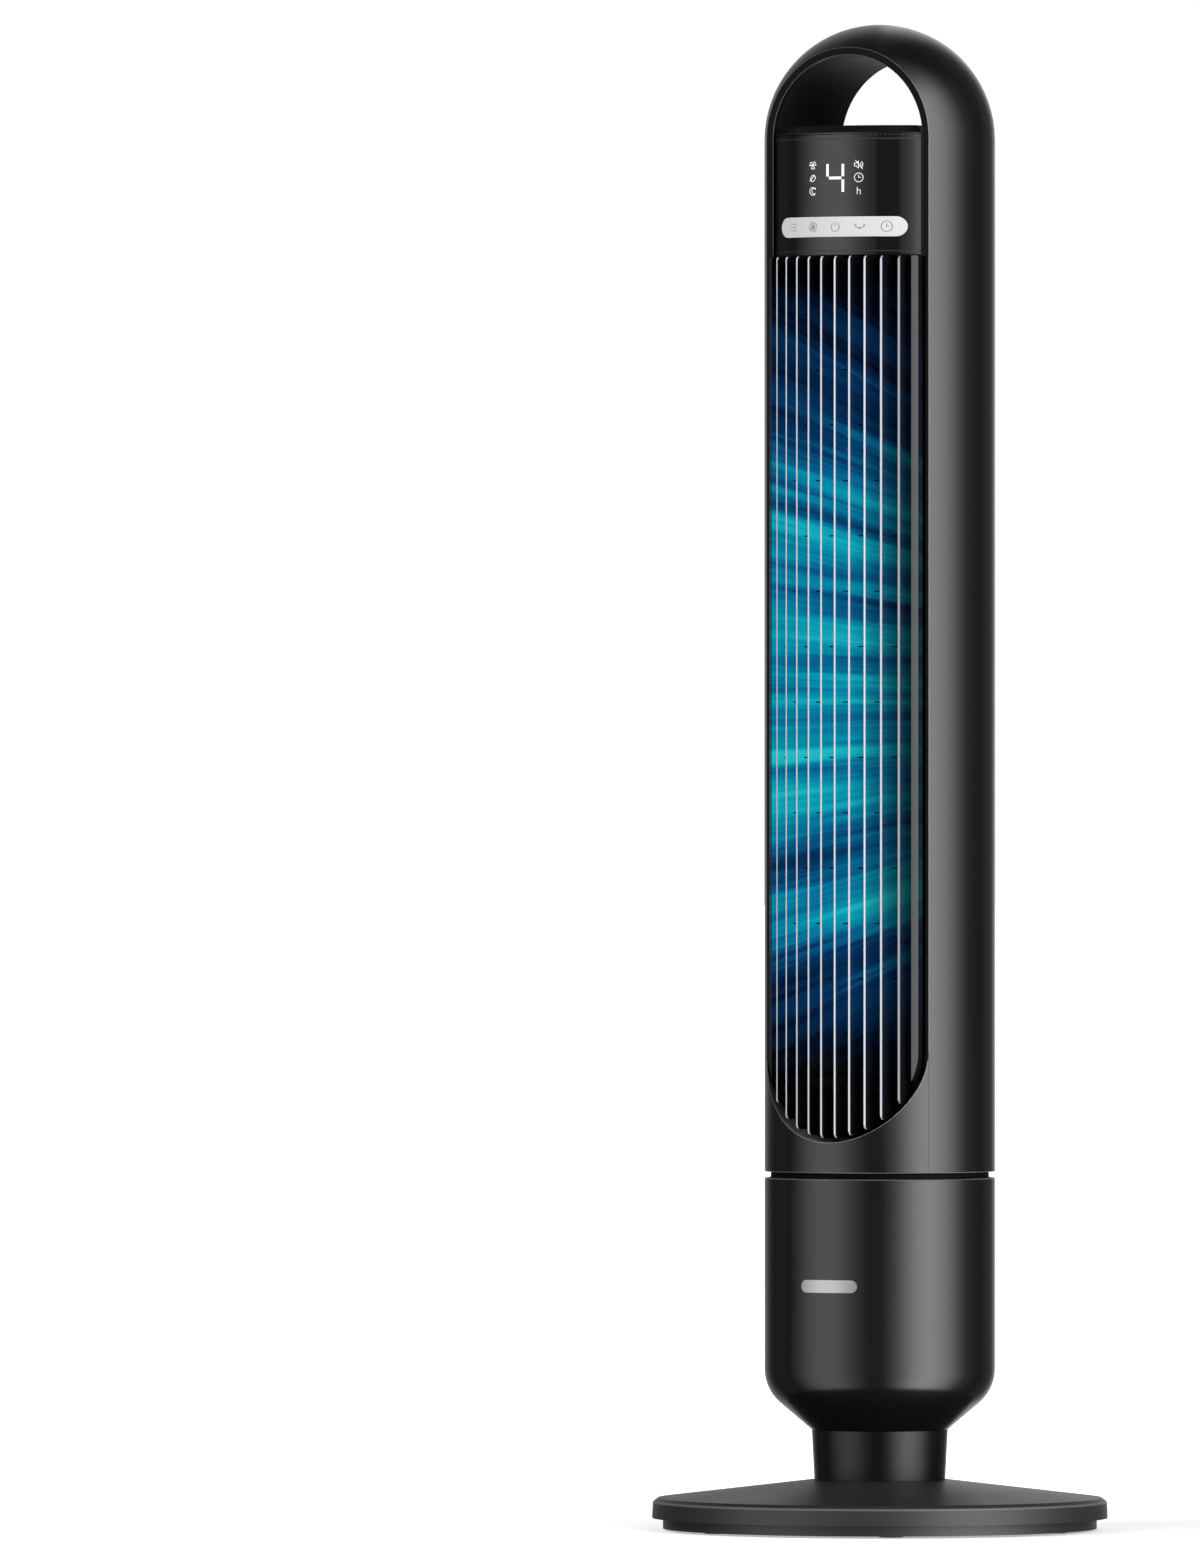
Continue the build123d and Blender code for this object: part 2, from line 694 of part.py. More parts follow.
def fin_plate(x, thickness, plate_radius):
    """One upright plate of the front grille, drawn in Y and Z."""
    near = abs(x) - thickness / 2
    far = abs(x) + thickness / 2
    front = math.sqrt(body_radius ** 2 - near ** 2)
    plate_low = opening_low_z - math.sqrt(plate_radius ** 2 - far ** 2)
    back_low = opening_low_z - math.sqrt((rim_inner_half - gap) ** 2 - far ** 2)
    outline = FilletPolyline(
        (-front, fin_top_z), (-front, plate_low), (rim_y - 0.4, plate_low), (rim_y - 0.4, back_low),
        (fin_back_y, back_low), (fin_back_y, fin_top_z),
        radius=[4.0, 4.5, 0.5, 0.5, 0.5, 0.5], close=True)
    return along_x(make_face(outline), x - thickness / 2, x + thickness / 2)


def make_front_grille():
    fin_places = [(index - (fin_count - 1) / 2) * fin_pitch for index in range(fin_count)]
    fins = [fin_plate(x, fin_thickness, fin_plate_radius) for x in fin_places]
    side_width = 3.7
    side_centre = rim_inner_half - 0.1 - side_width / 2
    side_shape = along_y(stadium(rim_inner_half - 0.1), -90, fin_back_y)
    for side in (-1, 1):
        strip = block(side * side_centre - side_width / 2, side * side_centre + side_width / 2,
                      -body_radius, fin_back_y, 270, fin_top_z)
        fins.append(strip & side_shape)
    frame_y = rim_y + rim_depth + 0.2
    frame = along_y(stadium(61.4) - stadium(55.9), frame_y, frame_y + 3.0)
    frame = frame & block(-100, 100, -100, 100, 200, fin_top_z)
    bar = block(-61.4, 61.4, frame_y, frame_y + 3.0, fin_top_z - 6, fin_top_z)
    ribs = []
    for row in range(rib_rows):
        height = rib_top_z - row * rib_pitch
        first = 0 if row % 2 == 0 else 1
        for index in range(first, fin_count - 1, 2):
            left = fin_places[index]
            right = fin_places[index + 1]
            middle = (left + right) / 2
            front = math.sqrt(rib_front_radius ** 2 - middle ** 2)
            ribs.append(block(left, right, -front, fin_back_y, height - rib_thickness / 2,
                              height + rib_thickness / 2))
    grille = fins[0] + fins[1:] + [frame, bar] + ribs
    return grille & ring(0, body_radius - 0.02, 200, 1000)


def make_rear_grille():
    outer = body_radius
    inner = body_radius - grille_wall
    low = grille_low_z + gap
    high = grille_high_z - gap
    edge = grille_half_angle - 0.25
    slot_span = edge - 4.5
    frame = rear_sector(inner, outer, edge, low, high)
    window = rear_sector(inner - 5, outer + 5, slot_span, low + 12, high - 12)
    frame = frame - window
    bars = []
    bar_count = int(2 * slot_span / slot_pitch_angle)
    for index in range(1, bar_count):
        angle = -slot_span + 2 * slot_span * index / bar_count
        bar = block(-bar_width / 2, bar_width / 2, inner + 0.2, outer - 0.3, low + 6, high - 6)
        bars.append(Rot(0, 0, -angle) * bar)
    hoops = []
    hoop_count = segment_count
    for index in range(1, hoop_count):
        height = low + 12 + (high - low - 24) * index / hoop_count
        hoops.append(rear_sector(inner, outer - 0.3, edge - 1, height - grille_ring_height / 2,
                                 height + grille_ring_height / 2))
    flange_outer = inner_radius - 0.15
    flange_inner = flange_outer - 2.2
    lips = []
    for side in (-1, 1):
        for height in notch_heights:
            tab_low = max(low, height - 10)
            tab_high = min(high, height + 10)
            tab = rear_sector(flange_inner, inner + 0.4, 66.5, tab_low, tab_high)
            tab = tab - rear_sector(flange_inner - 5, flange_outer + 5, edge - 3, tab_low, tab_high)
            tab = tab & block(min(0, side * 100), max(0, side * 100), -100, 100, 0, 1000)
            trim = rear_sector(flange_outer, 100, 80, tab_low, tab_high)
            trim = trim - rear_sector(0.1, 101, edge - 0.4, tab_low - 1, tab_high + 1)
            lips.append(tab - trim)
    grille = frame + bars + hoops + lips
    pilot = [extrude(plane * Circle(1.2), 20) for plane in notch_planes(68)]
    return grille - pilot


def make_rear_grille_screws():
    screws = []
    for plane in notch_planes(body_radius - 1.2):
        head = extrude(plane * Circle(3.0), 0.9) - extrude(plane * Circle(1.1), 0.9)
        shank = extrude(plane * Circle(1.15), -8.0)
        screws.append(head + shank + extrude(plane * Circle(1.3), 0.4))
    return screws


# ---- tower: control head ----------------------------------------------------------------------------------
panel_axis_y = panel_front_y + panel_radius


def panel_shell(inner_offset, outer_offset, low, high):
    """Part of the curved panel's shell, given by how far it lies out from the panel's front."""
    section = Circle(panel_radius + outer_offset) - Circle(panel_radius + inner_offset)
    section = Pos(0, panel_axis_y) * section
    return extrude(Plane.XY.offset(low) * section, high - low)


def make_display_panel():
    shell = panel_shell(-panel_thickness, 0, panel_low_z, panel_high_z)
    panel = shell & block(-panel_half, panel_half, -100, 0, 0, 1100)
    return fillet(panel.edges().filter_by(GeomType.CIRCLE).group_by(Axis.Y)[0], 0.5)


def make_touch_strip():
    pill = Pos(0, strip_z) * SlotOverall(2 * strip_half_length, 2 * strip_half_height)
    return along_y(pill, -100, -30) & panel_shell(0.05, 0.65, 900, 950)


def make_display_carrier():
    carrier = block(-59, 59, -44.0, -41.0, 908.0, 985.5)
    window = block(-44, 44, -50, -30, 916, 980)
    arms = [block(side * 52 - 2, side * 52 + 2, -47.8, -41.0, 908.0, 985.5) for side in (-1, 1)]
    bracket = carrier - window + arms
    return bracket


def make_display_board():
    return block(-49, 49, -45.8, -44.2, 912.0, 984.0)


def make_display_module():
    """Reflector block that carries the lit digit and the icons."""
    return fillet(block(-24, 24, -55.0, -45.9, 944.5, 974.5).edges().filter_by(Axis.Y), 1.5)


def make_ir_receiver():
    body = block(34.0, 40.0, -50.0, -45.9, 950.0, 957.0)
    lens = Pos(37.0, -50.0, 953.5) * Sphere(2.4)
    return body + lens


def make_head_cap():
    plan = (Pos(0, panel_axis_y) * Circle(panel_radius)) & Circle(inner_radius - 1.1)
    plan = plan & Rectangle(2 * 57.6, 220)
    low = handle_floor_z - cap_height
    slab = extrude(Plane.XY.offset(low) * plan, cap_height)
    top_edges = slab.edges().group_by(Axis.Z)[-1]
    front_edges = top_edges.filter_by(lambda edge: edge.center().Y < 50)
    slab = chamfer(front_edges, 5.2)
    skirt_plan = offset(plan, -4.0) - offset(plan, -6.5)
    skirt = extrude(Plane.XY.offset(low - 4) * skirt_plan, 4.5)
    return slab + skirt


def make_tower_harness():
    side = harness_place
    return tube_path(
        [(0, 0, 216.0), (0, 0, 263.6), (side[0], side[1], 263.6), (side[0], side[1], 940.0),
         (-30.0, -38.0, 940.0)],
        [8.0, 10.0, 12.0], 2.4)


# ---- all pieces -------------------------------------------------------------------------------------------
def upward(places, head_z, tip_z, **sizes):
    return [screw(x, y, head_z, tip_z, **sizes) for x, y in places]


def main():
    os.makedirs("parts", exist_ok=True)
    pieces = {
        # stand
        "base_cover": make_base_cover,
        "ballast_plate": make_ballast_plate,
        "base_bottom_plate": make_base_bottom_plate,
        "rubber_feet": make_rubber_feet,
        "base_screws": lambda: upward(base_screw_places, 1.4, 14.0, shank_radius=1.5),
        "neck_tube": make_neck_tube,
        "neck_nut": make_neck_nut,
        "neck_screws": lambda: upward(neck_screw_places, 65.0, 73.9, shank_radius=1.35),
        "lower_housing": make_lower_housing,
        "badge": make_badge,
        "cord_gland": make_cord_gland,
        "turntable_deck": make_turntable_deck,
        "deck_screws": lambda: upward(deck_screw_places, 244.1, 226.0, shank_radius=1.35),
        "glide_ring": make_glide_ring,
        "oscillation_motor": make_oscillation_motor,
        "oscillation_motor_screws": lambda: upward(step_motor_places, 234.3, 240.4, shank_radius=1.35),
        "power_board": make_power_board,
        "transformer": make_transformer,
        "capacitors": make_capacitors,
        "power_board_screws": make_power_board_screws,
        # pinion
        "oscillation_pinion": make_oscillation_pinion,
        "pinion_shaft": make_pinion_shaft,
        # tower
        "tower_floor": make_tower_floor,
        "tower_floor_screws": lambda: upward(floor_screw_places, 255.0, 271.5, shank_radius=1.35),
        "ring_gear": make_ring_gear,
        "ring_gear_screws": lambda: upward(ring_screw_places, 243.4, 258.2, shank_radius=1.25,
                                           head_height=1.5),
        "pivot_tube": make_pivot_tube,
        "pivot_retainer": make_pivot_retainer,
        "retainer_screws": lambda: upward(retainer_screw_places, 228.4, 245.0, shank_radius=1.15,
                                          head_radius=2.4, head_height=1.7),
        "motor_cradle": make_motor_cradle,
        "cradle_screws": lambda: upward(cradle_leg_places, 253.0, 272.0, shank_radius=1.35,
                                        head_height=1.6),
        "motor_case": make_motor_case,
        "motor_end_cap": make_motor_end_cap,
        "motor_stator": make_motor_stator,
        "motor_windings": make_motor_windings,
        "motor_mounts": make_motor_mounts,
        "motor_screws": lambda: upward(mount_places, cradle_z + 5.6, 314.5, shank_radius=1.8),
        "scroll_wall": make_scroll_wall,
        "stabiliser": make_stabiliser,
        "bearing_plate": make_bearing_plate,
        "bearing_rubber": make_bearing_rubber,
        "upper_bearing": make_upper_bearing,
        "tower_housing": make_tower_housing,
        "handle_liner": make_handle_liner,
        "front_grille": make_front_grille,
        "rear_grille": make_rear_grille,
        "rear_grille_screws": make_rear_grille_screws,
        "display_panel": make_display_panel,
        "touch_strip": make_touch_strip,
        "display_carrier": make_display_carrier,
        "display_board": make_display_board,
        "display_module": make_display_module,
        "ir_receiver": make_ir_receiver,
        "head_cap": make_head_cap,
        "tower_harness": make_tower_harness,
        # impeller
        "impeller": make_impeller,
        "impeller_hub": make_impeller_hub,
        "impeller_pin": make_impeller_pin,
        "motor_shaft": make_motor_shaft,
        "motor_rotor": make_motor_rotor,
    }
    for name, make in pieces.items():
        write(name, make())


main()
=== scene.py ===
import math

import bpy
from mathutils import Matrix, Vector


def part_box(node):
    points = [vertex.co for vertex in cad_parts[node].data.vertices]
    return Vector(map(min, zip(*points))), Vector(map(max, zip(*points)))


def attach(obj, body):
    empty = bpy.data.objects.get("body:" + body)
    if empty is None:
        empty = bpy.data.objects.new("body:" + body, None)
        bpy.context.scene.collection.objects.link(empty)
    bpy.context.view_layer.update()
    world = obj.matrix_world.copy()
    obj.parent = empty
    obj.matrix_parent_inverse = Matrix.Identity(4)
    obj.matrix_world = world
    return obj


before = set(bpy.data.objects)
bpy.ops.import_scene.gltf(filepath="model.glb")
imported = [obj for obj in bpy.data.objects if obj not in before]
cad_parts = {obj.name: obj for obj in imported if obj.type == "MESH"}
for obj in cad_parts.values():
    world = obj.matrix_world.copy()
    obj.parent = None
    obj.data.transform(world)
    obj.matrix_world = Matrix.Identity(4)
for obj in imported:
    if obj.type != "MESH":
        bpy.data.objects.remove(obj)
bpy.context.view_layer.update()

# ---- studio ---------------------------------------------------------------------------------------------
# A white cyclorama with a pale floor. Tall soft boxes stand around the fan: their light is a round wall
# of bands, broad and dim at the left, narrow and bright at the right. A very long lens stands level.
view_turn = math.radians(26.7)
screen_right = Vector((math.cos(view_turn), math.sin(view_turn), 0.0))
view_forward = Vector((-math.sin(view_turn), math.cos(view_turn), 0.0))
lens_distance = 13.53
lens_height = 0.533
axis_off_centre = 0.199

camera_data = bpy.data.cameras.new("studio_camera")
camera_data.lens = 439.0
camera_data.sensor_fit = "VERTICAL"
camera_data.sensor_height = 36.0
camera_data.clip_end = 100.0
camera = bpy.data.objects.new("studio_camera", camera_data)
bpy.context.scene.collection.objects.link(camera)
bpy.context.scene.camera = camera
side_turn = math.asin(axis_off_centre / lens_distance)
camera.location = -lens_distance * view_forward + Vector((0, 0, lens_height))
camera.rotation_euler = (math.pi / 2, 0.0, view_turn + side_turn)
bpy.context.scene.view_settings.view_transform = "Standard"

# Each stop is a turn from the camera in degrees, to the right, and how bright the wall is there: a broad
# box at the left, a dark gap straight ahead, a bright box at the right and a faint glow behind the fan.
wall_of_light = (
    (-180, 0.50), (-132, 0.04), (-116, 0.10), (-104, 0.06), (-58, 1.80), (-50, 1.80), (-16, 0.38),
    (-15, 0.10), (5, 0.10), (7.5, 0.50), (48, 5.40), (100, 0.15), (116, 0.04), (146, 0.12), (180, 0.50),
)

world = bpy.data.worlds.new("white_studio")
bpy.context.scene.world = world
world.use_nodes = True
nodes = world.node_tree.nodes
links = world.node_tree.links
nodes.clear()


def world_math(operation, *inputs):
    step = nodes.new("ShaderNodeMath")
    step.operation = operation
    for index, value in enumerate(inputs):
        if isinstance(value, (int, float)):
            step.inputs[index].default_value = value
        else:
            links.new(value, step.inputs[index])
    return step.outputs[0]


def world_dot(vector):
    step = nodes.new("ShaderNodeVectorMath")
    step.operation = "DOT_PRODUCT"
    step.inputs[1].default_value = vector
    links.new(direction.outputs["Generated"], step.inputs[0])
    return step.outputs["Value"]


direction = nodes.new("ShaderNodeTexCoord")
toward_camera = world_math("MULTIPLY", world_dot(view_forward), -1.0)
turn_around = world_math("ARCTAN2", world_dot(screen_right), toward_camera)
along_wall = world_math("ADD", world_math("DIVIDE", turn_around, 2 * math.pi), 0.5)
bands = nodes.new("ShaderNodeValToRGB")
ramp = bands.color_ramp
ramp.interpolation = "EASE"
for index, (turn, value) in enumerate(wall_of_light):
    place = turn / 360 + 0.5
    stop = ramp.elements[index] if index < 1 else ramp.elements.new(place)
    stop.position = place
    stop.color = (value, value, value * 1.01, 1)
ramp.elements[len(wall_of_light)].position = 1.0
ramp.elements[len(wall_of_light)].color = (wall_of_light[-1][1],) * 3 + (1,)
links.new(along_wall, bands.inputs["Fac"])
height_fade = nodes.new("ShaderNodeMapRange")
height_fade.interpolation_type = "SMOOTHSTEP"
height_fade.inputs["From Min"].default_value = 0.55
height_fade.inputs["From Max"].default_value = 0.97
height_fade.inputs["To Min"].default_value = 1.0
height_fade.inputs["To Max"].default_value = 0.12
links.new(world_math("ABSOLUTE", world_dot((0, 0, 1))), height_fade.inputs["Value"])
room = nodes.new("ShaderNodeBackground")
links.new(bands.outputs["Color"], room.inputs["Color"])
links.new(height_fade.outputs["Result"], room.inputs["Strength"])
backdrop = nodes.new("ShaderNodeBackground")
backdrop.inputs["Color"].default_value = (1, 1, 1, 1)
seen = nodes.new("ShaderNodeLightPath")
choose = nodes.new("ShaderNodeMixShader")
links.new(seen.outputs["Is Camera Ray"], choose.inputs[0])
links.new(room.outputs[0], choose.inputs[1])
links.new(backdrop.outputs[0], choose.inputs[2])
world_out = nodes.new("ShaderNodeOutputWorld")
links.new(choose.outputs[0], world_out.inputs["Surface"])

key_data = bpy.data.lights.new("key_box", "AREA")
key_data.shape = "RECTANGLE"
key_data.size = 0.5
key_data.size_y = 0.5
key_data.energy = 30.0
key = bpy.data.objects.new("key_box", key_data)
key.visible_glossy = False
key.location = -1.9 * screen_right - 0.9 * view_forward + Vector((0, 0, 1.5))
key.rotation_euler = (Vector((0, 0, 0.1)) - key.location).to_track_quat("-Z", "Y").to_euler()
bpy.context.scene.collection.objects.link(key)


def new_material(name):
    material = bpy.data.materials.new(name)
    material.use_nodes = True
    tree = material.node_tree
    return material, tree.nodes, tree.links, tree.nodes["Principled BSDF"]


def add_math(nodes, links, operation, *inputs, clamp=False):
    step = nodes.new("ShaderNodeMath")
    step.operation = operation
    step.use_clamp = clamp
    for index, value in enumerate(inputs):
        if isinstance(value, (int, float)):
            step.inputs[index].default_value = value
        else:
            links.new(value, step.inputs[index])
    return step.outputs[0]


def add_range(nodes, links, value, from_low, from_high, to_low=0.0, to_high=1.0):
    step = nodes.new("ShaderNodeMapRange")
    step.interpolation_type = "SMOOTHSTEP"
    step.inputs["From Min"].default_value = from_low
    step.inputs["From Max"].default_value = from_high
    step.inputs["To Min"].default_value = to_low
    step.inputs["To Max"].default_value = to_high
    links.new(value, step.inputs["Value"])
    return step.outputs["Result"]


def calc(operation, *inputs, clamp=False):
    return add_math(nodes, links, operation, *inputs, clamp=clamp)


def span(value, low, high, to_low=0.0, to_high=1.0):
    return add_range(nodes, links, value, low, high, to_low, to_high)


def length_of(a, b):
    """How long the flat diagonal of two measures is."""
    return calc("SQRT", calc("ADD", calc("MULTIPLY", a, a), calc("MULTIPLY", b, b)))


floor_reach = 60.0
floor_z = -0.0005
floor_mesh = bpy.data.meshes.new("studio_floor")
floor_mesh.from_pydata(
    [(-floor_reach, -floor_reach, floor_z), (floor_reach, -floor_reach, floor_z),
     (floor_reach, floor_reach, floor_z), (-floor_reach, floor_reach, floor_z)], [], [(0, 1, 2, 3)])
floor = bpy.data.objects.new("studio_floor", floor_mesh)
bpy.context.scene.collection.objects.link(floor)
floor_paint, nodes, links, shader = new_material("white_floor")
spot = nodes.new("ShaderNodeTexCoord")
from_fan = nodes.new("ShaderNodeVectorMath")
from_fan.operation = "LENGTH"
links.new(spot.outputs["Object"], from_fan.inputs[0])
glow = add_range(nodes, links, from_fan.outputs["Value"], 0.25, 1.3, 0.42, 1.0)
links.new(glow, shader.inputs["Emission Strength"])
shader.inputs["Emission Color"].default_value = (1, 1, 1, 1)
shader.inputs["Base Color"].default_value = (0.85, 0.85, 0.85, 1)
shader.inputs["Roughness"].default_value = 1.0
shader.inputs["Specular IOR Level"].default_value = 0.0
# Only the camera sees the floor: the fan itself is lit from below as well, as if by a glass table.
open_below = nodes.new("ShaderNodeBsdfTransparent")
ray = nodes.new("ShaderNodeLightPath")
either = nodes.new("ShaderNodeMixShader")
links.new(ray.outputs["Is Camera Ray"], either.inputs[0])
links.new(open_below.outputs[0], either.inputs[1])
links.new(shader.outputs[0], either.inputs[2])
links.new(either.outputs[0], nodes["Material Output"].inputs["Surface"])
floor.data.materials.append(floor_paint)


# ---- base -----------------------------------------------------------------------------------------------
# The round base is two ABS mouldings over a steel ballast disc, screwed together from below. A coarse
# spark-eroded grain makes it matt. Six rubber pads keep it off the floor.
def moulded_plastic(name, colour, roughness, grain, grain_height, cloud=7.0, specular=0.5):
    """Moulded plastic: grain as bump, and soft clouds in both colour and gloss."""
    material, nodes, links, shader = new_material(name)
    place = nodes.new("ShaderNodeTexCoord")
    fine = nodes.new("ShaderNodeTexNoise")
    fine.inputs["Scale"].default_value = grain
    fine.inputs["Detail"].default_value = 3.0
    soft = nodes.new("ShaderNodeTexNoise")
    soft.inputs["Scale"].default_value = cloud
    soft.inputs["Detail"].default_value = 4.0
    shade = nodes.new("ShaderNodeValToRGB")
    shade.color_ramp.elements[0].position = 0.3
    shade.color_ramp.elements[0].color = (*[channel * 0.86 for channel in colour], 1)
    shade.color_ramp.elements[1].position = 0.7
    shade.color_ramp.elements[1].color = (*[channel * 1.14 for channel in colour], 1)
    bump = nodes.new("ShaderNodeBump")
    bump.inputs["Strength"].default_value = 0.6
    bump.inputs["Distance"].default_value = grain_height
    links.new(place.outputs["Object"], fine.inputs["Vector"])
    links.new(place.outputs["Object"], soft.inputs["Vector"])
    links.new(soft.outputs["Fac"], shade.inputs["Fac"])
    links.new(shade.outputs["Color"], shader.inputs["Base Color"])
    gloss = add_range(nodes, links, soft.outputs["Fac"], 0.3, 0.7, roughness * 0.92, roughness * 1.08)
    links.new(gloss, shader.inputs["Roughness"])
    links.new(fine.outputs["Fac"], bump.inputs["Height"])
    links.new(bump.outputs["Normal"], shader.inputs["Normal"])
    shader.inputs["Specular IOR Level"].default_value = specular
    return material


def dress(material, *names):
    """Gives CAD nodes their finish."""
    for name in names:
        for slot in bpy.data.objects[name].material_slots:
            slot.material = material


def zinc_steel(name, colour, roughness):
    """Plated sheet or screw steel: faint spangle and drawn streaks."""
    material, nodes, links, shader = new_material(name)
    place = nodes.new("ShaderNodeTexCoord")
    spangle = nodes.new("ShaderNodeTexVoronoi")
    spangle.inputs["Scale"].default_value = 220.0
    links.new(place.outputs["Object"], spangle.inputs["Vector"])
    shade = nodes.new("ShaderNodeValToRGB")
    shade.color_ramp.elements[0].color = (*[channel * 0.8 for channel in colour], 1)
    shade.color_ramp.elements[1].color = (*colour, 1)
    links.new(spangle.outputs["Distance"], shade.inputs["Fac"])
    links.new(shade.outputs["Color"], shader.inputs["Base Color"])
    gloss = add_range(nodes, links, spangle.outputs["Distance"], 0.0, 1.0, roughness * 0.8, roughness * 1.25)
    links.new(gloss, shader.inputs["Roughness"])
    shader.inputs["Metallic"].default_value = 1.0
    return material


def blend_painted_light(material, mask, colour, metallic=0.0):
    """Blends painted light into a material where the mask is one: a paler colour for painted highlights and
    light, a near-black metallic one for painted shade.
    """
    nodes = material.node_tree.nodes
    links = material.node_tree.links
    shader = nodes["Principled BSDF"]
    blend = nodes.new("ShaderNodeMix")
    blend.data_type = "RGBA"
    blend.inputs["B"].default_value = (*colour, 1)
    links.new(mask, blend.inputs["Factor"])
    links.new(shader.inputs["Base Color"].links[0].from_socket, blend.inputs["A"])
    links.new(blend.outputs["Result"], shader.inputs["Base Color"])
    if metallic:
        links.new(mask, shader.inputs["Metallic"])


def object_place(material):
    nodes = material.node_tree.nodes
    place = nodes.new("ShaderNodeTexCoord")
    split = nodes.new("ShaderNodeSeparateXYZ")
    material.node_tree.links.new(place.outputs["Object"], split.inputs[0])
    return nodes, material.node_tree.links, split.outputs


# A paler colour painted on thin edges as a highlight.
edge_highlight_paint = (0.075, 0.075, 0.077)
matt_abs = moulded_plastic("matt_abs", (0.013, 0.013, 0.0134), 0.42, 1300.0, 0.00005, specular=0.42)
nodes, links, (x, y, z) = object_place(matt_abs)
base_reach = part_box("base_cover")[1][0]
brim_low_z = 0.0190
brim_high_z = 0.0194
# Painted highlight: a thin paler line round the top edge of the base rim.
past_brim = span(length_of(x, y), base_reach - 0.0018, base_reach - 0.0010)
brim_highlight = calc("MULTIPLY", past_brim, span(z, brim_low_z, brim_high_z))
blend_painted_light(matt_abs, brim_highlight, edge_highlight_paint)
dress(matt_abs, "base_cover", "base_bottom_plate")
foot_rubber = moulded_plastic("foot_rubber", (0.018, 0.018, 0.018), 0.85, 900.0, 0.00008, specular=0.3)
dress(foot_rubber, "rubber_feet", "cord_gland", "motor_mounts", "bearing_rubber", "impeller_hub")
plated_steel = zinc_steel("plated_steel", (0.62, 0.63, 0.65), 0.32)
dress(plated_steel, "ballast_plate", "base_screws", "neck_screws", "deck_screws", "oscillation_motor",
      "oscillation_motor_screws", "power_board_screws", "tower_floor_screws", "ring_gear_screws",
      "pivot_tube", "pivot_retainer", "retainer_screws", "cradle_screws", "motor_case", "motor_end_cap",
      "motor_screws", "rear_grille_screws")


# ---- neck and lower housing -----------------------------------------------------------------------------
# Tapered neck and round pot, both moulded in ABS with a satin texture so fine that the soft boxes stay
# readable in it. The neck is held to the base by a big plastic nut and to the pot by four screws.
pot_top_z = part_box("lower_housing")[1][2]
satin_abs = moulded_plastic("satin_abs", (0.0040, 0.0040, 0.0042), 0.20, 3200.0, 0.000003, 4.0)
nodes, links, (x, y, z) = object_place(satin_abs)
# Painted highlight: a thin paler line along the rounded top edge of the pot.
outermost = span(length_of(x, y), 0.0812, 0.0813)
pot_edge_highlight = calc("MULTIPLY", span(z, pot_top_z - 0.0008, pot_top_z - 0.0006), outermost)
blend_painted_light(satin_abs, pot_edge_highlight, edge_highlight_paint)
dress(satin_abs, "lower_housing", "rear_grille")
neck_abs = moulded_plastic("neck_abs", (0.0035, 0.0035, 0.0037), 0.22, 3200.0, 0.000003, 4.0, specular=0.26)
dress(neck_abs, "neck_tube")
liner_abs = moulded_plastic("liner_abs", (0.009, 0.009, 0.009), 0.50, 1600.0, 0.00001, specular=0.15)
dress(liner_abs, "handle_liner")
# Painted shade: the turntable deck and tower floor seen through the seam gap are made near-black and almost
# without shine, so the gap reads as shadow.
gap_shade_abs = moulded_plastic("gap_shade_abs", (0.002, 0.002, 0.002), 0.6, 1600.0, 0.00003, specular=0.06)
dress(gap_shade_abs, "turntable_deck", "tower_floor")
plain_abs = moulded_plastic("plain_abs", (0.030, 0.030, 0.032), 0.5, 1600.0, 0.00004)
dress(plain_abs, "neck_nut", "motor_cradle", "scroll_wall", "stabiliser",
      "bearing_plate", "display_carrier", "display_module")

# ---- name-plate blank -----------------------------------------------------------------------------------
# A thin rounded strip of brushed metal glued to the front of the pot, with nothing printed on it.
def brushed_metal(name, colour, roughness, stretch):
    material, nodes, links, shader = new_material(name)
    place = nodes.new("ShaderNodeTexCoord")
    squeeze = nodes.new("ShaderNodeMapping")
    squeeze.inputs["Scale"].default_value = stretch
    lines = nodes.new("ShaderNodeTexNoise")
    lines.inputs["Scale"].default_value = 40.0
    lines.inputs["Detail"].default_value = 5.0
    links.new(place.outputs["Object"], squeeze.inputs["Vector"])
    links.new(squeeze.outputs["Vector"], lines.inputs["Vector"])
    shade = nodes.new("ShaderNodeValToRGB")
    shade.color_ramp.elements[0].position = 0.3
    shade.color_ramp.elements[0].color = (*[channel * 0.8 for channel in colour], 1)
    shade.color_ramp.elements[1].position = 0.7
    shade.color_ramp.elements[1].color = (*colour, 1)
    links.new(lines.outputs["Fac"], shade.inputs["Fac"])
    links.new(shade.outputs["Color"], shader.inputs["Base Color"])
    gloss = add_range(nodes, links, lines.outputs["Fac"], 0.3, 0.7, roughness * 0.8, roughness * 1.2)
    links.new(gloss, shader.inputs["Roughness"])
    shader.inputs["Metallic"].default_value = 1.0
    return material


dress(brushed_metal("badge_metal", (0.40, 0.40, 0.41), 0.34, (1.0, 1.0, 60.0)), "badge")
ground_steel = brushed_metal("ground_steel", (0.66, 0.66, 0.67), 0.22, (1.0, 1.0, 40.0))
dress(ground_steel, "pinion_shaft", "motor_shaft", "impeller_pin")

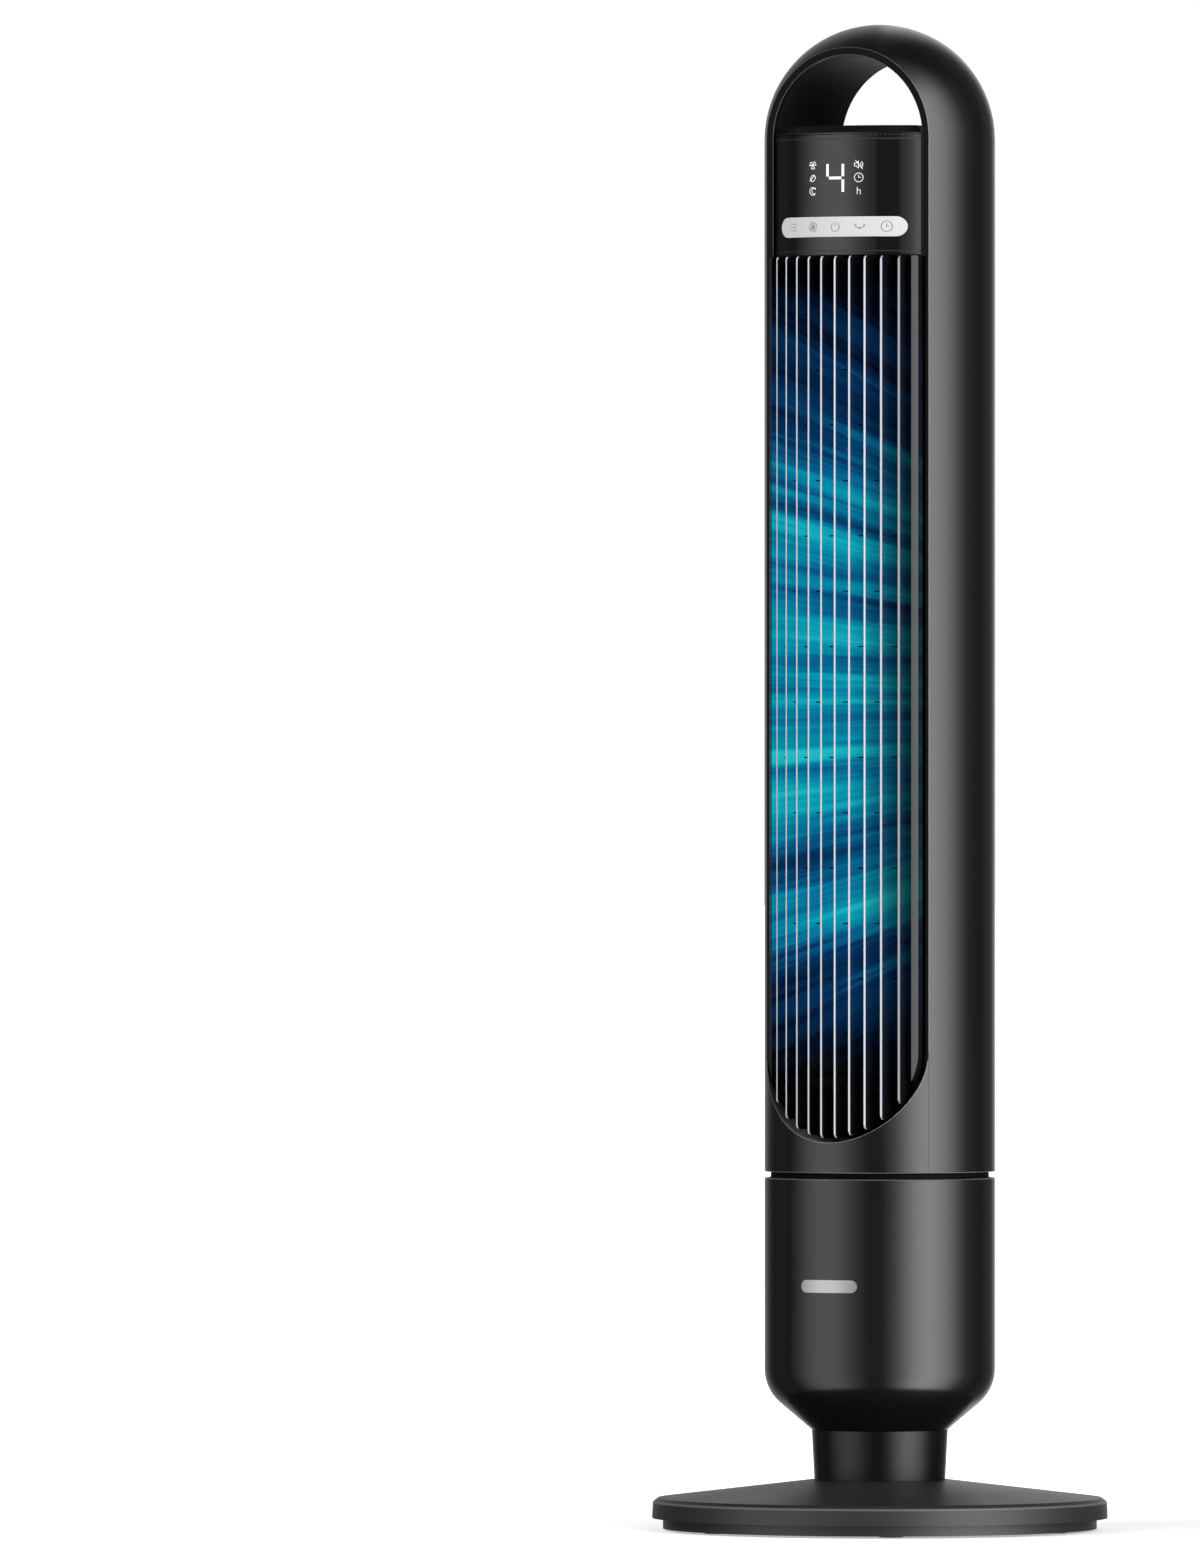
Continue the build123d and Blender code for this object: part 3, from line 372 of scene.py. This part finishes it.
# ---- oscillation drive, motor and boards ----------------------------------------------------------------
# Acetal gears and glide ring, a laminated stator and rotor, enamelled copper coils, a sintered bronze
# bush, green boards with their parts: all out of sight, each in its own stuff.
acetal = moulded_plastic("acetal", (0.80, 0.79, 0.74), 0.42, 900.0, 0.00001)
dress(acetal, "oscillation_pinion", "ring_gear")
dress(gap_shade_abs, "glide_ring")
core_iron = brushed_metal("core_iron", (0.24, 0.24, 0.25), 0.45, (1.0, 1.0, 90.0))
dress(core_iron, "motor_stator", "motor_rotor", "transformer")
copper = brushed_metal("copper", (0.80, 0.36, 0.17), 0.35, (1.0, 1.0, 70.0))
dress(copper, "motor_windings")
bronze = zinc_steel("bronze", (0.58, 0.40, 0.20), 0.45)
dress(bronze, "upper_bearing")
board_green = moulded_plastic("board_green", (0.012, 0.09, 0.035), 0.3, 500.0, 0.00003, 60.0)
dress(board_green, "power_board", "display_board")
sleeve_blue = moulded_plastic("sleeve_blue", (0.02, 0.03, 0.07), 0.3, 700.0, 0.00001)
dress(sleeve_blue, "capacitors")
wire_sleeve = moulded_plastic("wire_sleeve", (0.012, 0.012, 0.012), 0.55, 400.0, 0.00015)
dress(wire_sleeve, "tower_harness")
dark_lens = moulded_plastic("dark_lens", (0.012, 0.004, 0.008), 0.08, 200.0, 0.000005)
dress(dark_lens, "ir_receiver")

# ---- impeller -------------------------------------------------------------------------------------------
# Cross-flow impeller welded from moulded segments. Its dark blue-green tint is painted light: it carries on
# the blue glow of the grille where the impeller shows between the plates.
impeller_plastic = moulded_plastic("impeller_plastic", (0.006, 0.050, 0.075), 0.30, 1200.0, 0.00001, 20.0)
dress(impeller_plastic, "impeller")

# ---- tower housing --------------------------------------------------------------------------------------
# The tall shell is the same satin ABS as the pot. Its flat front rim face is masked near-black and metallic,
# so that it gives back none of the light of the soft boxes: painted shade. Thin paler lines along the rim's
# edges and round the foot are painted highlights, and a pale crescent in the scoop wall below the opening is
# painted light.
body_radius = 0.082
rim_face_y = -0.051
opening_low_z = 0.3405
tower_low_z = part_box("tower_housing")[0][2]
tower_abs = moulded_plastic("tower_abs", (0.0040, 0.0040, 0.0042), 0.20, 3200.0, 0.000003, 4.0)
nodes, links, (x, y, z) = object_place(tower_abs)
# Painted highlight: thin paler lines along the edges of the flat front rim and round the foot of the shell.
off_rim = calc("ABSOLUTE", calc("SUBTRACT", y, rim_face_y))
beside_opening = span(z, opening_low_z - 0.001, opening_low_z)
inside_rim = span(calc("ABSOLUTE", x), 0.0620, 0.0610)
rim_edge_highlight = calc("MULTIPLY", span(off_rim, 0.00055, 0.00045), calc("MAXIMUM", beside_opening, inside_rim))
foot_edge_highlight = span(z, tower_low_z + 0.0007, tower_low_z + 0.0006)
blend_painted_light(tower_abs, calc("MAXIMUM", rim_edge_highlight, foot_edge_highlight), edge_highlight_paint)
# Painted light: a pale crescent on the scoop wall below the opening, where the soft boxes would light it.
scoop_radius = math.sqrt(body_radius ** 2 - rim_face_y ** 2)
below = calc("SUBTRACT", z, opening_low_z)
off_scoop = calc("ABSOLUTE", calc("SUBTRACT", length_of(x, below), scoop_radius))
scoop_painted_light = calc("MULTIPLY", span(off_scoop, 0.00018, 0.00012), span(below, 0.0, -0.004))
scoop_painted_light = calc("MULTIPLY", scoop_painted_light, span(y, rim_face_y - 0.0002, rim_face_y - 0.0003))
blend_painted_light(tower_abs, scoop_painted_light, (0.20, 0.20, 0.202))
# Painted shade: the flat front rim face is made near-black and metallic, so that it gives back no light.
rim_face_shade = span(off_rim, 0.00012, 0.00004)
blend_painted_light(tower_abs, rim_face_shade, (0.006, 0.006, 0.006), 1.0)
dress(tower_abs, "tower_housing")

# ---- front grille ---------------------------------------------------------------------------------------
# Ten deep upright plates and their cross ribs, one gloss black moulding. The front edges are hot-stamped
# in silver, fading to grey towards the right as painted shade. A painted glow of blue streaks runs over the
# flanks of the plates like moving air, though they are no lamp: it spreads out from a point beyond the right
# side, brightest halfway up, and dies away at the ends and to the right.
streak_centre_s = 0.43
streak_centre_z = 0.585
glow_low_z = 0.318
glow_high_z = 0.893
grille_gloss, nodes, links, shader = new_material("grille_gloss")
place = nodes.new("ShaderNodeTexCoord")
split = nodes.new("ShaderNodeSeparateXYZ")
links.new(place.outputs["Object"], split.inputs[0])
x, y, z = split.outputs

across = calc("ADD", calc("MULTIPLY", x, screen_right.x), calc("MULTIPLY", y, screen_right.y))
run = calc("SUBTRACT", streak_centre_s, across)
rise = calc("SUBTRACT", z, streak_centre_z)
ray = calc("DIVIDE", rise, run)


def glow_streaks(scale, drift, seed, detail):
    """Noise drawn out along the rays, for the painted glow."""
    field = nodes.new("ShaderNodeCombineXYZ")
    links.new(calc("MULTIPLY", ray, scale), field.inputs[0])
    links.new(calc("MULTIPLY", across, drift), field.inputs[1])
    field.inputs[2].default_value = seed
    noise = nodes.new("ShaderNodeTexNoise")
    noise.inputs["Scale"].default_value = 1.0
    noise.inputs["Detail"].default_value = detail
    noise.inputs["Roughness"].default_value = 0.62
    links.new(field.outputs[0], noise.inputs["Vector"])
    return noise.outputs["Fac"]


broad = glow_streaks(11.0, 2.5, 3.1, 2.0)
thin = glow_streaks(55.0, 6.0, 8.7, 3.0)
mixed = calc("ADD", calc("MULTIPLY", broad, 0.60), calc("MULTIPLY", thin, 0.40))
middle = calc("MULTIPLY", span(z, 0.31, 0.47), span(z, 0.87, 0.70))
level = calc("ADD", mixed, calc("MULTIPLY", calc("SUBTRACT", middle, 0.78), 0.25))
colour = nodes.new("ShaderNodeValToRGB")
colour.color_ramp.elements[0].position = 0.28
colour.color_ramp.elements[0].color = (0.0005, 0.004, 0.016, 1)
colour.color_ramp.elements[1].position = 0.43
colour.color_ramp.elements[1].color = (0.0006, 0.030, 0.105, 1)
for place_on_ramp, tone in ((0.52, (0.0005, 0.12, 0.26, 1)), (0.60, (0.0, 0.27, 0.38, 1)),
                            (0.68, (0.01, 0.42, 0.48, 1)), (0.80, (0.03, 0.52, 0.62, 1))):
    stop = colour.color_ramp.elements.new(place_on_ramp)
    stop.color = tone
links.new(level, colour.inputs["Fac"])
ends = calc("MULTIPLY", span(z, glow_low_z, glow_low_z + 0.07), span(z, glow_high_z, glow_high_z - 0.05))
to_right = calc("ADD", 0.10, calc("MULTIPLY", span(across, 0.024, -0.024), 0.90))
facing = nodes.new("ShaderNodeSeparateXYZ")
links.new(place.outputs["Normal"], facing.inputs[0])
on_flank = span(calc("ABSOLUTE", facing.outputs[0]), 0.6, 0.9)
from_axis = length_of(x, y)
fin_pitch = 0.010745
fin_share = calc("FRACT", calc("DIVIDE", x, fin_pitch))
off_fin = calc("MULTIPLY", calc("ABSOLUTE", calc("SUBTRACT", fin_share, 0.5)), fin_pitch)
stripe = calc("MULTIPLY", span(off_fin, 0.00070, 0.00058), span(calc("ABSOLUTE", x), 0.0530, 0.0525))
on_front = calc("MULTIPLY", span(calc("MULTIPLY", facing.outputs[1], -1.0), 0.2, 0.45),
                calc("MULTIPLY", span(from_axis, 0.0735, 0.0745), stripe))
on_edge = calc("MULTIPLY", calc("SUBTRACT", 1.0, on_front), on_flank)
# Painted glow: blue emission on the flanks of the plates, which are no lamp.
painted_glow_strength = calc("MULTIPLY", calc("MULTIPLY", ends, to_right), on_edge)
links.new(colour.outputs["Color"], shader.inputs["Emission Color"])
links.new(calc("MULTIPLY", painted_glow_strength, 1.0), shader.inputs["Emission Strength"])
paint = nodes.new("ShaderNodeMix")
paint.data_type = "RGBA"
paint.inputs["A"].default_value = (0.004, 0.004, 0.005, 1)
paint.inputs["B"].default_value = (0.44, 0.46, 0.50, 1)
# Painted shade: the silver on the front edges fades to grey towards the right.
links.new(calc("MULTIPLY", on_front, span(across, 0.032, -0.010)), paint.inputs["Factor"])
links.new(paint.outputs["Result"], shader.inputs["Base Color"])
links.new(calc("ADD", 0.16, calc("MULTIPLY", on_front, 0.22)), shader.inputs["Roughness"])
shader.inputs["Specular IOR Level"].default_value = 0.35
dress(grille_gloss, "front_grille")

# ---- display panel and head cap -------------------------------------------------------------------------
# Deep gloss black cover bent to a larger round than the tower. Two fine moulded lines run inside its top
# and bottom edges. The cap above it closes the handle opening and has a wide bevel.
panel_gloss, nodes, links, shader = new_material("panel_gloss")
place = nodes.new("ShaderNodeTexCoord")
split = nodes.new("ShaderNodeSeparateXYZ")
links.new(place.outputs["Object"], split.inputs[0])
z = split.outputs[2]
panel_low, panel_high = (corner[2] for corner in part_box("display_panel"))
line_inset = 0.0032
line_half = 0.00035


def line_at(height):
    distance = calc("ABSOLUTE", calc("SUBTRACT", z, height))
    return span(distance, line_half * 1.4, line_half * 0.6)


moulded_lines = calc("MAXIMUM", line_at(panel_low + line_inset), line_at(panel_high - line_inset))
haze = nodes.new("ShaderNodeTexNoise")
haze.inputs["Scale"].default_value = 30.0
haze.inputs["Detail"].default_value = 5.0
links.new(place.outputs["Object"], haze.inputs["Vector"])
paint = nodes.new("ShaderNodeMix")
paint.data_type = "RGBA"
paint.inputs["A"].default_value = (0.0035, 0.0035, 0.004, 1)
paint.inputs["B"].default_value = (0.02, 0.02, 0.021, 1)
links.new(moulded_lines, paint.inputs["Factor"])
links.new(paint.outputs["Result"], shader.inputs["Base Color"])
links.new(add_range(nodes, links, haze.outputs["Fac"], 0.3, 0.7, 0.045, 0.065), shader.inputs["Roughness"])
groove = nodes.new("ShaderNodeBump")
groove.inputs["Distance"].default_value = 0.0002
groove.invert = True
links.new(moulded_lines, groove.inputs["Height"])
links.new(groove.outputs["Normal"], shader.inputs["Normal"])
dress(panel_gloss, "display_panel")
cap_gloss = moulded_plastic("cap_gloss", (0.005, 0.005, 0.0055), 0.16, 1200.0, 0.000004)
dress(cap_gloss, "head_cap")

# ---- touch strip ----------------------------------------------------------------------------------------
# A pill-shaped film in pearl silver, bonded to the panel, with five fine grey line signs.
pearl, nodes, links, shader = new_material("pearl_silver")
place = nodes.new("ShaderNodeTexCoord")
flake = nodes.new("ShaderNodeTexVoronoi")
flake.inputs["Scale"].default_value = 2500.0
links.new(place.outputs["Object"], flake.inputs["Vector"])
shade = nodes.new("ShaderNodeValToRGB")
shade.color_ramp.elements[0].color = (0.40, 0.40, 0.405, 1)
shade.color_ramp.elements[1].color = (0.48, 0.48, 0.485, 1)
links.new(flake.outputs["Distance"], shade.inputs["Fac"])
links.new(shade.outputs["Color"], shader.inputs["Base Color"])
links.new(span(flake.outputs["Distance"], 0.0, 1.0, 0.34, 0.46), shader.inputs["Roughness"])
dress(pearl, "touch_strip")

# ---- signs and lit figures ------------------------------------------------------------------------------
# Line signs are thin ribbons of ink laid on the bent panel or strip: flat strokes drawn in width and
# height, then wrapped to its round. The lit ones shine through the gloss cover from the light block.
panel_front_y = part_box("display_panel")[0][1]
panel_radius = 0.091
sign_lift = 0.00012


def wrapped(u, height, lift):
    """A point of the panel's front, given by its width from the middle and its height."""
    radius = panel_radius + lift
    return (u, panel_front_y + panel_radius - math.sqrt(radius ** 2 - u ** 2), height)


def arc(centre, radius, start, end, steps=18):
    points = []
    for index in range(steps + 1):
        angle = math.radians(start + (end - start) * index / steps)
        points.append((centre[0] + radius * math.cos(angle), centre[1] + radius * math.sin(angle)))
    return points


def ribbon(verts, faces, points, width, lift):
    """One stroke of even width along points, with mitred corners."""
    closed = math.dist(points[0], points[-1]) < 1e-7
    trail = points[:-1] if closed else points
    count = len(trail)
    first = len(verts)
    for index, point in enumerate(trail):
        before = trail[(index - 1) % count] if closed or index > 0 else point
        after = trail[(index + 1) % count] if closed or index < count - 1 else point
        into = Vector((point[0] - before[0], point[1] - before[1]))
        out = Vector((after[0] - point[0], after[1] - point[1]))
        if into.length == 0:
            into = out
        if out.length == 0:
            out = into
        into.normalize()
        out.normalize()
        along = (into + out).normalized()
        side = Vector((-along.y, along.x))
        reach = width / 2 / max(0.5, math.sqrt((1 + into.dot(out)) / 2))
        for sign in (1, -1):
            verts.append(wrapped(point[0] + sign * side.x * reach, point[1] + sign * side.y * reach, lift))
    pairs = count if closed else count - 1
    for index in range(pairs):
        a = first + 2 * index
        b = first + 2 * ((index + 1) % count)
        faces.append((a, a + 1, b + 1, b))


def fine(points, longest=0.0012):
    """Splits long straight runs so that a stroke can bend with the panel."""
    result = [points[0]]
    for start, end in zip(points, points[1:]):
        parts = max(1, math.ceil(math.dist(start, end) / longest))
        for part in range(1, parts + 1):
            share = part / parts
            result.append((start[0] + (end[0] - start[0]) * share, start[1] + (end[1] - start[1]) * share))
    return result


def sign(name, middle, strokes, width, material, slot, lift):
    """Ink strokes about a middle point, as one piece on the tower."""
    verts, faces = [], []
    for stroke in strokes:
        placed = [(middle[0] + u, middle[1] + height) for u, height in stroke]
        ribbon(verts, faces, placed if len(stroke) > 8 else fine(placed), width, lift)
    mesh = bpy.data.meshes.new(name)
    mesh.from_pydata(verts, [], faces)
    mesh.update()
    piece = bpy.data.objects.new(name, mesh)
    bpy.context.scene.collection.objects.link(piece)
    thick = piece.modifiers.new("ink", "SOLIDIFY")
    thick.thickness = 0.00005
    thick.offset = -1.0
    piece.data.materials.append(material)
    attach(piece, "tower")
    return piece


def printed_ink(name, colour, glow):
    material, nodes, links, shader = new_material(name)
    place = nodes.new("ShaderNodeTexCoord")
    speck = nodes.new("ShaderNodeTexNoise")
    speck.inputs["Scale"].default_value = 1800.0
    links.new(place.outputs["Object"], speck.inputs["Vector"])
    shade = nodes.new("ShaderNodeValToRGB")
    shade.color_ramp.elements[0].color = (*[channel * 0.85 for channel in colour], 1)
    shade.color_ramp.elements[1].color = (*colour, 1)
    links.new(speck.outputs["Fac"], shade.inputs["Fac"])
    shader.inputs["Roughness"].default_value = 0.4
    if not glow:
        links.new(shade.outputs["Color"], shader.inputs["Base Color"])
    else:
        shader.inputs["Base Color"].default_value = (0.02, 0.02, 0.02, 1)
        links.new(shade.outputs["Color"], shader.inputs["Emission Color"])
        shader.inputs["Emission Strength"].default_value = glow
    return material


grey_ink = printed_ink("grey_ink", (0.07, 0.07, 0.075), 0.0)
white_light = printed_ink("white_light", (0.95, 0.97, 1.0), 1.3)
MM = 0.001


def scaled(strokes, size):
    return [[(u * size, height * size) for u, height in stroke] for stroke in strokes]


def dial(radius):
    return arc((0, 0), radius, 0, 360, 28)


def petals(count, inner, outer, sweep_angle):
    """Curved fan blades about the middle."""
    strokes = []
    for index in range(count):
        turn = 360 * index / count
        tip = arc((0, 0), outer, turn, turn + sweep_angle, 6)
        lead = [(inner * math.cos(math.radians(turn - 18)), inner * math.sin(math.radians(turn - 18)))]
        trail_turn = turn + sweep_angle * 0.5
        back = [(inner * math.cos(math.radians(trail_turn)), inner * math.sin(math.radians(trail_turn)))]
        strokes.append(lead + tip + back + lead)
    return strokes


list_rows = (0.8, 0.0, -0.8)
list_sign = [[(-0.35, h), (1.0, h)] for h in list_rows] + [[(-1.0, h), (-0.75, h)] for h in list_rows]
fan_sign = petals(4, 0.28, 1.0, 52) + [arc((0, 0), 0.18, 0, 360, 12)]
power_sign = [arc((0, -0.05), 0.85, 125, 415, 26), [(0.0, 1.0), (0.0, 0.15)]]
swing_sign = [arc((0, 0.75), 1.05, 215, 325, 16), [(-1.0, 0.45), (-0.86, 0.15), (-0.6, 0.3)],
              [(1.0, 0.45), (0.86, 0.15), (0.6, 0.3)], arc((0, -0.3), 0.12, 0, 360, 10)]
clock_sign = [dial(0.95), [(0.0, 0.55), (0.0, 0.0), (0.45, 0.0)]]
wind_sign = petals(3, 0.22, 0.95, 70) + [arc((0, 0), 0.16, 0, 360, 12)]
leaf_sign = [arc((0.55, -0.55), 1.35, 100, 172, 10) + arc((-0.45, 0.4), 1.3, 280, 350, 10) +
             [arc((0.55, -0.55), 1.35, 100, 172, 10)[0]], [(-0.95, -0.8), (0.45, 0.5)]]
moon_sign = [arc((0.0, 0.0), 0.95, 50, 320, 24) + arc((0.42, 0.08), 0.72, 292, 92, 16) +
             [arc((0.0, 0.0), 0.95, 50, 320, 24)[0]], arc((0.70, 0.65), 0.14, 0, 360, 10)]
mute_sign = [[(-0.95, 0.3), (-0.55, 0.3), (-0.05, 0.75), (-0.05, -0.75), (-0.55, -0.3), (-0.95, -0.3),
              (-0.95, 0.3)], arc((0.05, 0), 0.45, -50, 50, 8), arc((0.05, 0), 0.85, -50, 50, 10),
             [(-0.75, 0.95), (0.85, -0.95)]]
hour_sign = [[(-0.4, 1.0), (-0.4, -0.9)],
             [(-0.4, 0.15), (-0.1, 0.25), (0.25, 0.25), (0.42, 0.05), (0.42, -0.9)]]

strip_z = sum(corner[2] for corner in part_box("touch_strip")) / 2
strip_lift = 0.00065 + sign_lift
strip_pitch = 18.5 * MM
strip_stroke = 0.33 * MM
strip_signs = (("list", list_sign, 2.8), ("fan", fan_sign, 3.4), ("power", power_sign, 3.8),
               ("swing", swing_sign, 3.8), ("clock", clock_sign, 3.9))
for index, (name, strokes, size) in enumerate(strip_signs):
    middle = ((index - 2) * strip_pitch, strip_z)
    drawn = scaled(strokes, size * MM)
    sign("strip_sign_" + name, middle, drawn, strip_stroke, grey_ink, "touch_strip", strip_lift)

lit_stroke = 0.42 * MM
lit_rows = (968.5 * MM, 959.4 * MM, 950.0 * MM)
lit_signs = ((-19.0 * MM, (("wind", wind_sign, 2.85), ("leaf", leaf_sign, 2.85), ("moon", moon_sign, 2.85))),
             (17.5 * MM, (("mute", mute_sign, 3.3), ("timer", clock_sign, 3.3), ("hour", hour_sign, 2.7))))
for u, column in lit_signs:
    for height, (name, strokes, size) in zip(lit_rows, column):
        middle = (u, height)
        drawn = scaled(strokes, size * MM)
        sign("lit_sign_" + name, middle, drawn, lit_stroke, white_light, "display", sign_lift)

figure_middle = (-0.4 * MM, 959.2 * MM)
half_w = 6.1 * MM
half_h = 9.9 * MM
notch = 1.15 * MM
figure_strokes = [
    [(-half_w, half_h), (-half_w, notch)],
    [(-half_w + notch, 0.0), (half_w - notch, 0.0)],
    [(half_w, half_h), (half_w, notch)],
    [(half_w, -notch), (half_w, -half_h)],
]
sign("lit_figure", figure_middle, figure_strokes, 1.95 * MM, white_light, "display", sign_lift)
